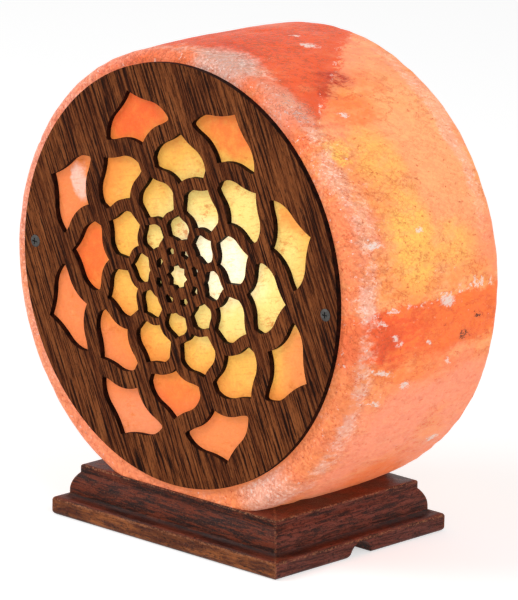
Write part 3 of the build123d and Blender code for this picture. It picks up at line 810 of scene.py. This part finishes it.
def scuffed(look):
    """Chalky, bruised salt: along the front corner and in patches near it."""
    corner = look.times(look.ramp(look.along, -32, -39), look.ramp(look.y, -48.0, -43.5))
    corner = look.times(corner, look.ramp(look.plus(look.mottle, look.ragged), 0.44, 0.56))
    return look.most_of(look.times(corner, 0.75), look.patches(*CHALKY_ZONES))


def rim_colour(look, scuff):
    colour = look.mix(look.ramp(look.cloud, 0.42, 0.58), SALMON, ORANGE)
    colour = look.mix(look.ramp(look.mottle, 0.46, 0.62, 0, 0.7), colour, PEACH)
    colour = look.mix(look.patches(PEACH_ZONE), colour, PEACH)
    lower = look.ramp(look.math("ABSOLUTE", look.around), 100, 112)
    lower = look.times(lower, look.ramp(look.cloud, 0.62, 0.44, 0.4, 0.8))
    colour = look.mix(lower, colour, DUSTY_PINK)
    golden = look.times(look.patches(*GOLDEN_ZONES), look.ramp(look.mottle, 0.68, 0.42, 0.4, 1.0))
    colour = look.mix(golden, colour, GOLD)
    ember = look.times(look.patches(*EMBER_ZONES), look.ramp(look.mottle, 0.66, 0.42, 0.45, 1.0))
    ember = look.most_of(ember, look.ramp(look.y, -43, -48, 0, 0.4))
    colour = look.mix(ember, colour, EMBER)
    flushed = look.times(look.patches(FLUSHED_ZONE), look.ramp(look.hatch, 0.62, 0.40, 0.45, 1.0))
    colour = look.mix(flushed, colour, FLUSH)

    top = look.times(look.ramp(top_seam(look), -1.5, 1.5), look.ramp(look.around, -32, -18))
    top = look.times(top, look.ramp(look.along, -44, -30, 0.35, 1.0))
    side = look.times(look.ramp(look.near_angle, *BAND_START), look.ramp(look.around, *BAND_END))
    side = look.times(side, look.ramp(look.along, -46, -37, 0.5, 1.0))
    deep = look.most_of(top, side, look.patches(FAR_RED_ZONE))
    colour = look.mix(look.times(deep, look.ramp(look.mottle, 0.72, 0.46, 0.6, 1.0)), colour, RED)
    colour = look.mix(look.times(top, look.ramp(look.cloud, 0.40, 0.60, 0.25, 0.85)), colour, DARK_RED)
    lighter = look.most_of(look.ramp(look.along, -18, 10, 0, 0.8), look.ramp(look.mottle, 0.50, 0.60))
    colour = look.mix(look.times(side, lighter), colour, LIGHT_RED)
    bruise = look.times(look.patches(*BRUISED_ZONES), look.ramp(look.hatch, 0.40, 0.58, 0.35, 1.0))
    colour = look.mix(bruise, colour, BRUISE)

    colour = look.mix(look.times(scuff, 0.62), colour, CHALK)
    ash = look.times(look.patches(ASHEN_ZONE), look.ramp(look.hatch, 0.40, 0.60, 0.35, 0.95))
    colour = look.mix(ash, colour, ASH)
    marks = look.times(look.ramp(look.plus(look.hatch, look.grain), 1.02, 1.10), 0.85)
    return look.mix(look.times(look.patches(*SCRAPED_ZONES), marks), colour, SCRAPE)


def front_colour(look):
    """The bulb's glow through the sawn face, painted on as rings of colour that are brightest round the
    glow's middle.
    """
    away_x = look.minus(look.front_x, GLOW_MIDDLE[0])
    away_z = look.minus(look.front_z, GLOW_MIDDLE[1])
    away_z = look.math("MAXIMUM", away_z, look.times(away_z, GLOW_DROP))
    away = look.length(away_x, away_z)
    away = look.math("MULTIPLY_ADD", look.minus(look.cloud, NOISE_MIDDLE), GLOW_WANDER, away)
    colour = look.mix(look.ramp(away, *GLOW_EDGE), *GLOW_EDGE_COLOURS)
    for outer, inner, glow in GLOW_RINGS:
        colour = look.mix(look.ramp(away, outer, inner), colour, glow)
    colour = look.mix(look.ramp(look.mottle, 0.54, 0.72, 0, 0.35), colour, FACE_CLOUD)
    for zone, tint in FACE_TINTS_UNDER_RED:
        colour = look.mix(look.face_patches(zone), colour, tint)
    redder = look.times(look.face_patches(*FACE_RED_ZONES), look.ramp(look.mottle, 0.66, 0.42, 0.6, 1.0))
    colour = look.mix(redder, colour, FACE_RED)
    for zone, tint in FACE_TINTS_OVER_RED:
        colour = look.mix(look.face_patches(zone), colour, tint)
    # Fine combed streaks, as a saw leaves them in salt.
    comb = look.noise(look.place((160, 40, 900), (0, 0.25, 0)), detail=3, roughness=0.7)
    colour = look.mix(look.ramp(comb, 0.52, 0.66, 0, 0.35), colour, FACE_COMB)
    stain = look.noise(look.place((60, 60, 110), (0, 0.3, 0)), detail=9, roughness=0.78)
    return look.mix(look.ramp(stain, 0.55, 0.66, 0, 0.75), colour, FACE_STAIN), away


def back_colour(look):
    """The plain sawn back: clouds of salmon and orange, with a fainter glow over the cavity."""
    away = look.length(look.front_x, look.minus(look.front_z, BACK_GLOW_LEVEL))
    colour = look.mix(look.ramp(look.cloud, 0.40, 0.60), *BACK_COLOURS)
    colour = look.mix(look.ramp(look.mottle, 0.46, 0.62, 0, 0.6), colour, BACK_CLOUD)
    for outer, inner, glow in BACK_GLOW_RINGS:
        colour = look.mix(look.ramp(away, outer, inner, 0, 0.9), colour, glow)
    redder = look.times(look.face_patches(*BACK_RED_ZONES), look.ramp(look.mottle, 0.66, 0.42, 0.5, 1.0))
    return look.mix(redder, colour, BACK_RED)


def white_flakes_and_glints(look, scuff):
    """White crystal, partly painted glints: broken seams, loose flakes and frosting."""
    top_line = look.ramp(look.math("ABSOLUTE", top_seam(look)), 0.9, 0.2)
    seam = look.most_of(
        look.stripe(87.2, -0.03, 0.1, 0.7),
        look.times(top_line, look.ramp(look.ragged, -0.02, 0.05)),
        look.times(look.stripe(106.5, 0.13, 0.1, 0.7), look.ramp(look.y, -18, -24)),
        look.times(look.stripe(84.5, 0.02, 0.05, 0.6), look.ramp(look.y, 16, 24)),
    )
    broken = look.ramp(look.noise(look.place((170, 230, 170)), detail=6, roughness=0.78), 0.52, 0.56)
    frosting = look.ramp(look.plus(look.grain, look.hatch), 1.08, 1.18, 0, 0.85)
    loose = look.ramp(look.noise(look.place((380, 200, 380)), detail=5, roughness=0.80), 0.63, 0.66)
    loose_zone = look.most_of(
        scuff,
        look.ramp(look.along, -18, -36, 0, 0.95),
        look.ramp(look.cloud, 0.56, 0.66, 0, 0.7),
    )
    return look.most_of(
        look.times(seam, broken),
        look.times(look.flakes(*WHITE_FLAKES_AND_GLINTS), look.ramp(look.grain, 0.36, 0.48)),
        look.times(loose, loose_zone),
        look.times(scuff, frosting),
    )


def salt_material():
    look = SaltLook()
    scuff = scuffed(look)
    on_front = look.times(look.ramp(look.y, *FRONT_FACE_Y), look.ramp(look.radius, *FRONT_FACE_RADIUS))
    on_back = look.times(look.ramp(look.y, *BACK_FACE_Y), look.ramp(look.radius, *BACK_FACE_RADIUS))
    front, away = front_colour(look)
    colour = look.mix(on_back, look.mix(on_front, rim_colour(look, scuff), front), back_colour(look))

    # Crackled towards the front corner, smoother and glassier behind it, calm on the sawn faces.
    sawn = look.math("MAXIMUM", on_front, on_back)
    hewn = look.minus(1, look.times(sawn, 0.85))
    rough = look.most_of(
        look.ramp(look.along, -20, -38, 0.5, 1.0),
        look.ramp(top_seam(look), 0, 6, 0, 0.9),
        scuff,
    )
    rough = look.times(rough, look.minus(1, look.times(sawn, 0.7)))
    tone = look.plus(look.times(look.hatch, 0.5), look.times(look.grain, 0.5))
    tone = look.ramp(tone, 0.40, 0.60, 0.70, 1.14)
    shade = look.new("ShaderNodeCombineXYZ")
    for socket in shade.inputs:
        look.put(tone, socket)
    colour = look.mix(rough, colour, look.mix(1.0, colour, shade.outputs[0], blend="MULTIPLY"))
    vein = look.noise(look.place((64, 34, 64)), detail=9, roughness=0.72)
    crack = look.ramp(look.from_level(vein, NOISE_MIDDLE), 0.013, 0.002)
    crack = look.times(crack, look.most_of(rough, look.ramp(look.cloud, 0.42, 0.54)))
    colour = look.mix(look.times(look.times(crack, hewn), 0.7), colour, CRACK)
    crackle = look.ramp(look.cell_edges(look.place((460, 300, 460))), 0.09, 0.01)
    crackle = look.times(crackle, look.ramp(look.ragged, -0.04, 0.05))
    near_corner = look.times(look.ramp(look.along, -28, -38), 0.6)
    crackled = look.most_of(look.patches(*CRACKLED_ZONES), near_corner)
    crackle = look.times(look.times(crackle, crackled), hewn)
    colour = look.mix(look.times(crackle, 0.6), colour, CRACKLE)
    freckle = look.noise(look.place((420, 230, 420)), detail=4, roughness=0.78)
    freckle = look.ramp(freckle, 0.61, 0.66, 0, 0.7)
    colour = look.mix(look.times(freckle, hewn), colour, FRECKLE)
    soil = look.times(look.flakes(*SOIL_SPECKS), look.ramp(look.grain, 0.44, 0.54))
    colour = look.mix(soil, colour, SOIL)
    white_and_glint = look.times(white_flakes_and_glints(look, scuff), look.minus(1, sawn))
    colour = look.mix(look.times(white_and_glint, 0.85), colour, WHITE_CRYSTAL_AND_GLINT)

    # The lamp's glow: strongest behind the board's middle, weaker at the top and under white salt.
    hot = look.times(look.ramp(away, 42, 12), on_front)
    strength = look.math("MULTIPLY_ADD", hot, 0.34, 0.46)
    strength = look.times(strength, look.ramp(look.math("ABSOLUTE", look.angle), 8, 48, 0.72, 1.0))
    strength = look.times(strength, look.minus(1, look.times(white_and_glint, 0.45)))
    height = look.math("MULTIPLY_ADD", look.grain, 0.22, look.times(look.hatch, 0.35))
    height = look.math("MULTIPLY_ADD", look.times(look.mottle, rough), 0.8, height)
    return look.set(
        Base_Color=colour,
        Roughness=look.ramp(look.grain, 0.3, 0.7, 0.32, 0.66),
        Specular_IOR_Level=0.22,
        Emission_Color=colour,
        Emission_Strength=strength,
        Normal=look.bump(height, 0.0011, 0.9),
    )


salt.data.materials.clear()
salt.data.materials.append(salt_material())


# ------ wood
BOARD_TURN = (0, math.radians(25), 0)
BOARD_COLOURS = (rgb(102, 50, 24), rgb(136, 74, 38))
BOARD_PALE_STREAK = rgb(168, 100, 54)
BOARD_DARK_STREAK = rgb(46, 19, 9)
BOARD_LINE = rgb(20, 8, 5)
BOARD_SPECKLE = rgb(54, 24, 12)
CHARRED_COLOURS = (rgb(12, 5, 4), rgb(40, 17, 11))

# The plinth's marks in mm, each from where it fades out to where it is full.
SLAB_BELOW = (8.6, 7.6)
SLAB_INSET = (0.9, 0.2)
SLAB_ARRIS_LEVEL = 7.7
SLAB_ARRIS_WIDTH = (0.9, 0.2)
SLAB_ARRIS_INSET = (2.0, 1.2)
LIP_ARRIS_LEVEL = 24.4
LIP_ARRIS_WIDTH = (0.8, 0.2)
LIP_ARRIS_INSET = (11.4, 10.6)
MITRE_WIDTH = (1.3, 0.2)
COVE_FOOT = (8.8, 9.2)
COVE_HEAD = (11.2, 10.2)
BELLY_COLOURS = (rgb(38, 12, 6), rgb(112, 46, 24))
SLAB_COLOURS = (rgb(88, 40, 20), rgb(168, 96, 48))
SLAB_CLOUD = rgb(80, 34, 18)
SIDE_SHEEN_COLOURS = (rgb(66, 26, 19), rgb(124, 62, 50))
TOP_COLOURS = (rgb(70, 28, 20), rgb(112, 48, 30))
PLANED_COLOURS = (rgb(62, 26, 15), rgb(112, 58, 34))
PLINTH_FLECK = rgb(24, 8, 6)
PLINTH_DUST = rgb(176, 112, 80)
PLINTH_WEAR_AND_HIGHLIGHT = rgb(196, 128, 88)
COVE_SHADE = rgb(22, 8, 6)


def board_material():
    """Dark stained board with a slanting grain and charred cut edges."""
    look = Shader("panel_wood")
    streak = look.noise(look.place((760, 60, 40), BOARD_TURN), detail=7, roughness=0.75, distortion=0.2)
    wide = look.noise(look.place((90, 60, 9), BOARD_TURN), detail=4, roughness=0.6)
    line = look.noise(look.place((760, 60, 38), BOARD_TURN), detail=5, roughness=0.72)
    speckle = look.noise(look.place((1500, 300, 500), BOARD_TURN), detail=2, roughness=0.7)
    colour = look.mix(look.ramp(wide, 0.40, 0.60), *BOARD_COLOURS)
    colour = look.mix(look.ramp(streak, 0.50, 0.37, 0, 0.6), colour, BOARD_PALE_STREAK)
    colour = look.mix(look.ramp(streak, 0.49, 0.57, 0, 0.9), colour, BOARD_DARK_STREAK)
    colour = look.mix(look.ramp(line, 0.525, 0.575, 0, 0.92), colour, BOARD_LINE)
    colour = look.mix(look.ramp(speckle, 0.50, 0.66, 0, 0.5), colour, BOARD_SPECKLE)
    cut_edge = look.ramp(look.math("ABSOLUTE", look.facing()[1]), 0.8, 0.4)
    soot = look.noise(look.place((300, 300, 300)), detail=3)
    colour = look.mix(cut_edge, colour, look.mix(look.ramp(soot, 0.4, 0.6), *CHARRED_COLOURS))
    height = look.math("MULTIPLY_ADD", streak, -0.6, look.times(line, -0.6))
    return look.set(
        Base_Color=colour,
        Roughness=look.ramp(streak, 0.4, 0.6, 0.5, 0.7),
        Specular_IOR_Level=0.05,
        Normal=look.bump(height, 0.0004, 0.8),
    )


def plinth_material():
    """Dark lacquered hardwood; light lines of wear and painted highlight follow the moulding's arrises."""
    look = Shader("plinth_wood")
    x, y, z = look.millimetres()
    inset_x = look.minus(PLINTH_HALF_X, look.math("ABSOLUTE", x))
    inset_y = look.minus(PLINTH_HALF_Y, look.math("ABSOLUTE", y))
    inset = look.math("MINIMUM", inset_x, inset_y)
    upward = look.facing()[2]
    to_side = look.ramp(look.minus(inset_y, inset_x), -0.4, 0.4)
    to_top = look.ramp(upward, 0.55, 0.9)

    # The grain runs along each face.
    def along_face(scale_long, scale_across, scale_up, **settings):
        front = look.noise(look.place((scale_long, scale_across, scale_up)), **settings)
        side = look.noise(look.place((scale_across, scale_long, scale_up)), **settings)
        blend = look.new("ShaderNodeMix", data_type="FLOAT")
        look.put(to_side, blend.inputs[0])
        look.put(front, blend.inputs[2])
        look.put(side, blend.inputs[3])
        return blend.outputs[0]

    streak = along_face(60, 420, 620, detail=7, roughness=0.74, distortion=0.3)
    fleck = along_face(330, 900, 1100, detail=4, roughness=0.75)
    cloud = look.noise(look.place((46, 60, 90)), detail=5, roughness=0.65)
    fine = look.noise(look.place((1100, 1100, 1300)), detail=2, roughness=0.8)

    body = look.mix(look.ramp(streak, 0.42, 0.58), *BELLY_COLOURS)
    slab = look.mix(look.ramp(streak, 0.40, 0.58), *SLAB_COLOURS)
    slab = look.mix(look.ramp(cloud, 0.42, 0.60, 0, 0.7), slab, SLAB_CLOUD)
    # The faces at the ends in x take a lighter, purplish brown than the front: painted sheen.
    side = look.mix(look.ramp(streak, 0.40, 0.60), *SIDE_SHEEN_COLOURS)
    slab_face = look.times(look.ramp(z, *SLAB_BELOW), look.ramp(inset, *SLAB_INSET))
    front_face = look.mix(slab_face, body, slab)
    side_face_sheen = look.mix(look.most_of(slab_face, look.ramp(streak, 0.45, 0.6, 0.2, 0.8)), body, side)
    colour = look.mix(to_side, front_face, side_face_sheen)
    colour = look.mix(to_top, colour, look.mix(look.ramp(cloud, 0.4, 0.6), *TOP_COLOURS))
    colour = look.mix(look.ramp(fleck, 0.54, 0.62, 0, 0.85), colour, PLINTH_FLECK)
    colour = look.mix(look.ramp(fine, 0.56, 0.68, 0, 0.25), colour, PLINTH_DUST)

    # Light lines of wear and painted highlight: the slab's arris, the lip's arris and the mitred corners.
    slab_line = look.ramp(look.from_level(z, SLAB_ARRIS_LEVEL), *SLAB_ARRIS_WIDTH)
    lip_line = look.ramp(look.from_level(z, LIP_ARRIS_LEVEL), *LIP_ARRIS_WIDTH)
    arris = look.most_of(
        look.times(slab_line, look.ramp(inset, *SLAB_ARRIS_INSET)),
        look.times(lip_line, look.ramp(inset, *LIP_ARRIS_INSET)),
        look.ramp(look.from_level(inset_x, inset_y), *MITRE_WIDTH, 0, 0.8),
    )
    wear_and_highlight = look.times(arris, look.ramp(look.plus(fleck, fine), 0.96, 1.12))
    colour = look.mix(look.times(wear_and_highlight, 0.5), colour, PLINTH_WEAR_AND_HIGHLIGHT)
    cove = look.times(look.ramp(z, *COVE_FOOT), look.ramp(z, *COVE_HEAD))
    colour = look.mix(look.times(cove, 0.6), colour, COVE_SHADE)
    # The underside is one plain planed face.
    planed = look.noise(look.place((50, 420, 400)), detail=6, roughness=0.7)
    planed = look.mix(look.ramp(planed, 0.40, 0.60), *PLANED_COLOURS)
    colour = look.mix(look.ramp(upward, -0.7, -0.95), colour, planed)
    return look.set(
        Base_Color=colour,
        Roughness=look.ramp(cloud, 0.3, 0.7, 0.34, 0.55),
        Specular_IOR_Level=0.14,
        Normal=look.bump(look.math("MULTIPLY_ADD", fleck, 0.6, streak), 0.0005, 0.8),
    )


dress("lotus_panel", board_material())
dress("base_plinth", plinth_material())


# ------ plain parts
METAL_FREQUENCY = 600
PLASTIC_FREQUENCY = 400
ROUGHNESS_SPREAD = 0.12
WEAR_BUMP = 0.00004
METAL_DULLING = 0.7
PLASTIC_DULLING = 0.95
GLASS_TINT = rgb(250, 250, 246)
GLASS_IOR = 1.12


def worn_material(name, colour, roughness, metallic, frequency, dulling):
    """dulling is how dark the duller spots are, as a share of the colour."""
    look = Shader(name)
    wear = look.noise(look.place((frequency,) * 3), detail=4)
    return look.set(
        Base_Color=look.mix(look.ramp(wear, 0.35, 0.7), colour, tuple(dulling * c for c in colour)),
        Metallic=metallic,
        Roughness=look.ramp(wear, 0.3, 0.7, roughness, roughness + ROUGHNESS_SPREAD),
        Normal=look.bump(wear, WEAR_BUMP, 0.5),
    )


def metal_material(name, colour, roughness):
    return worn_material(name, colour, roughness, 1.0, METAL_FREQUENCY, METAL_DULLING)


def plastic_material(name, colour, roughness):
    return worn_material(name, colour, roughness, 0.0, PLASTIC_FREQUENCY, PLASTIC_DULLING)


def clear_glass_material(name):
    look = Shader(name)
    haze = look.noise(look.place((60, 60, 60)), detail=2)
    return look.set(
        Base_Color=GLASS_TINT,
        Roughness=look.ramp(haze, 0.3, 0.7, 0.01, 0.05),
        Transmission_Weight=1.0,
        IOR=GLASS_IOR,
    )


PLAIN_PARTS = (
    (metal_material, "dark_screw", rgb(84, 82, 80), 0.42, ["panel_screws"]),
    (metal_material, "plated_steel", rgb(190, 190, 188), 0.28, ["base_screws"]),
    (plastic_material, "plug_plastic", rgb(150, 150, 146), 0.5, ["panel_anchors", "base_anchors"]),
    (plastic_material, "holder_plastic", rgb(232, 230, 222), 0.3, ["holder_cap", "holder_skirt"]),
    (plastic_material, "ceramic", rgb(236, 232, 222), 0.15, ["terminal_block"]),
    (metal_material, "brass", rgb(206, 168, 92), 0.25,
     ["terminal_screws", "screw_shell", "contact_tongue", "bush_nut"]),
    (metal_material, "spring_steel", rgb(160, 163, 168), 0.25, ["clip_spring"]),
    (plastic_material, "black_plastic", rgb(30, 30, 30), 0.45, ["cord_bush"]),
    (metal_material, "bulb_metal", rgb(205, 205, 203), 0.25, ["bulb_cap"]),
    (plastic_material, "black_glass", rgb(18, 18, 20), 0.12, ["bulb_insulator"]),
    (metal_material, "solder", rgb(168, 168, 170), 0.4, ["bulb_contact"]),
    (metal_material, "tungsten", rgb(120, 116, 110), 0.4,
     ["bulb_filament", "lead_wires", "support_wires"]),
)
for make_material, name, colour, roughness, nodes in PLAIN_PARTS:
    material = make_material(name, colour, roughness)
    for node in nodes:
        dress(node, material)
glass = clear_glass_material("bulb_glass")
dress("bulb_glass", glass)
dress("bulb_stem", glass)
threaded_cap.data.materials.append(bpy.data.materials["bulb_metal"])
threaded_shell.data.materials.append(bpy.data.materials["brass"])
coiled_filament.data.materials.append(bpy.data.materials["tungsten"])


# ------ floor and light
FLOOR_SIZE = 30
FLOOR_COLOUR = (0.7, 0.7, 0.7)
FLOOR_ROUGHNESS = 0.9
FLOOR_LIFT = 0.55
WHITE = (1, 1, 1)
SKY_LIGHT = 0.42
LIGHT_AIM = Vector((0, 0, 0.12))
# Each light's name, place in metres, power in watts and size in metres.
LIGHTS = (
    ("key", (-0.9, -1.3, 1.5), 20, 1.2),
    ("fill", (1.6, -0.5, 1.1), 11, 1.0),
)


def make_floor():
    bpy.ops.mesh.primitive_plane_add(size=FLOOR_SIZE, location=(0, 0, 0))
    floor = bpy.context.object
    floor.name = "floor"
    look = Shader("floor")
    # A lift that lights nothing makes the lit floor as white as the backdrop.
    look.set(
        Base_Color=FLOOR_COLOUR,
        Roughness=FLOOR_ROUGHNESS,
        Specular_IOR_Level=0.0,
        Emission_Color=WHITE,
        Emission_Strength=look.times(look.seen_only(), FLOOR_LIFT),
    )
    # Seen from below the floor isn't there, so that the underside can be looked at.
    choice = look.new("ShaderNodeMixShader")
    look.put(look.new("ShaderNodeNewGeometry").outputs["Backfacing"], choice.inputs[0])
    look.put(look.surface.outputs[0], choice.inputs[1])
    look.put(look.new("ShaderNodeBsdfTransparent").outputs[0], choice.inputs[2])
    look.put(choice.outputs[0], look.tree.nodes["Material Output"].inputs["Surface"])
    floor.data.materials.append(look.material)


def add_area_light(name, place, power, size):
    data = bpy.data.lights.new(name, "AREA")
    data.energy = power
    data.size = size
    lamp = add_object(name, data)
    lamp.location = place
    lamp.rotation_euler = (LIGHT_AIM - Vector(place)).to_track_quat("-Z", "Y").to_euler()


def make_world():
    """White where it is seen, and a weaker even light on everything."""
    world = bpy.data.worlds.new("world")
    bpy.context.scene.world = world
    world.use_nodes = True
    look = Nodes(world.node_tree)
    sky = look.tree.nodes["Background"]
    look.put(WHITE, sky.inputs["Color"])
    look.put(look.ramp(look.seen_only(), 0, 1, SKY_LIGHT), sky.inputs["Strength"])


make_floor()
make_world()
for light in LIGHTS:
    add_area_light(*light)

bpy.context.scene.view_settings.view_transform = "Standard"
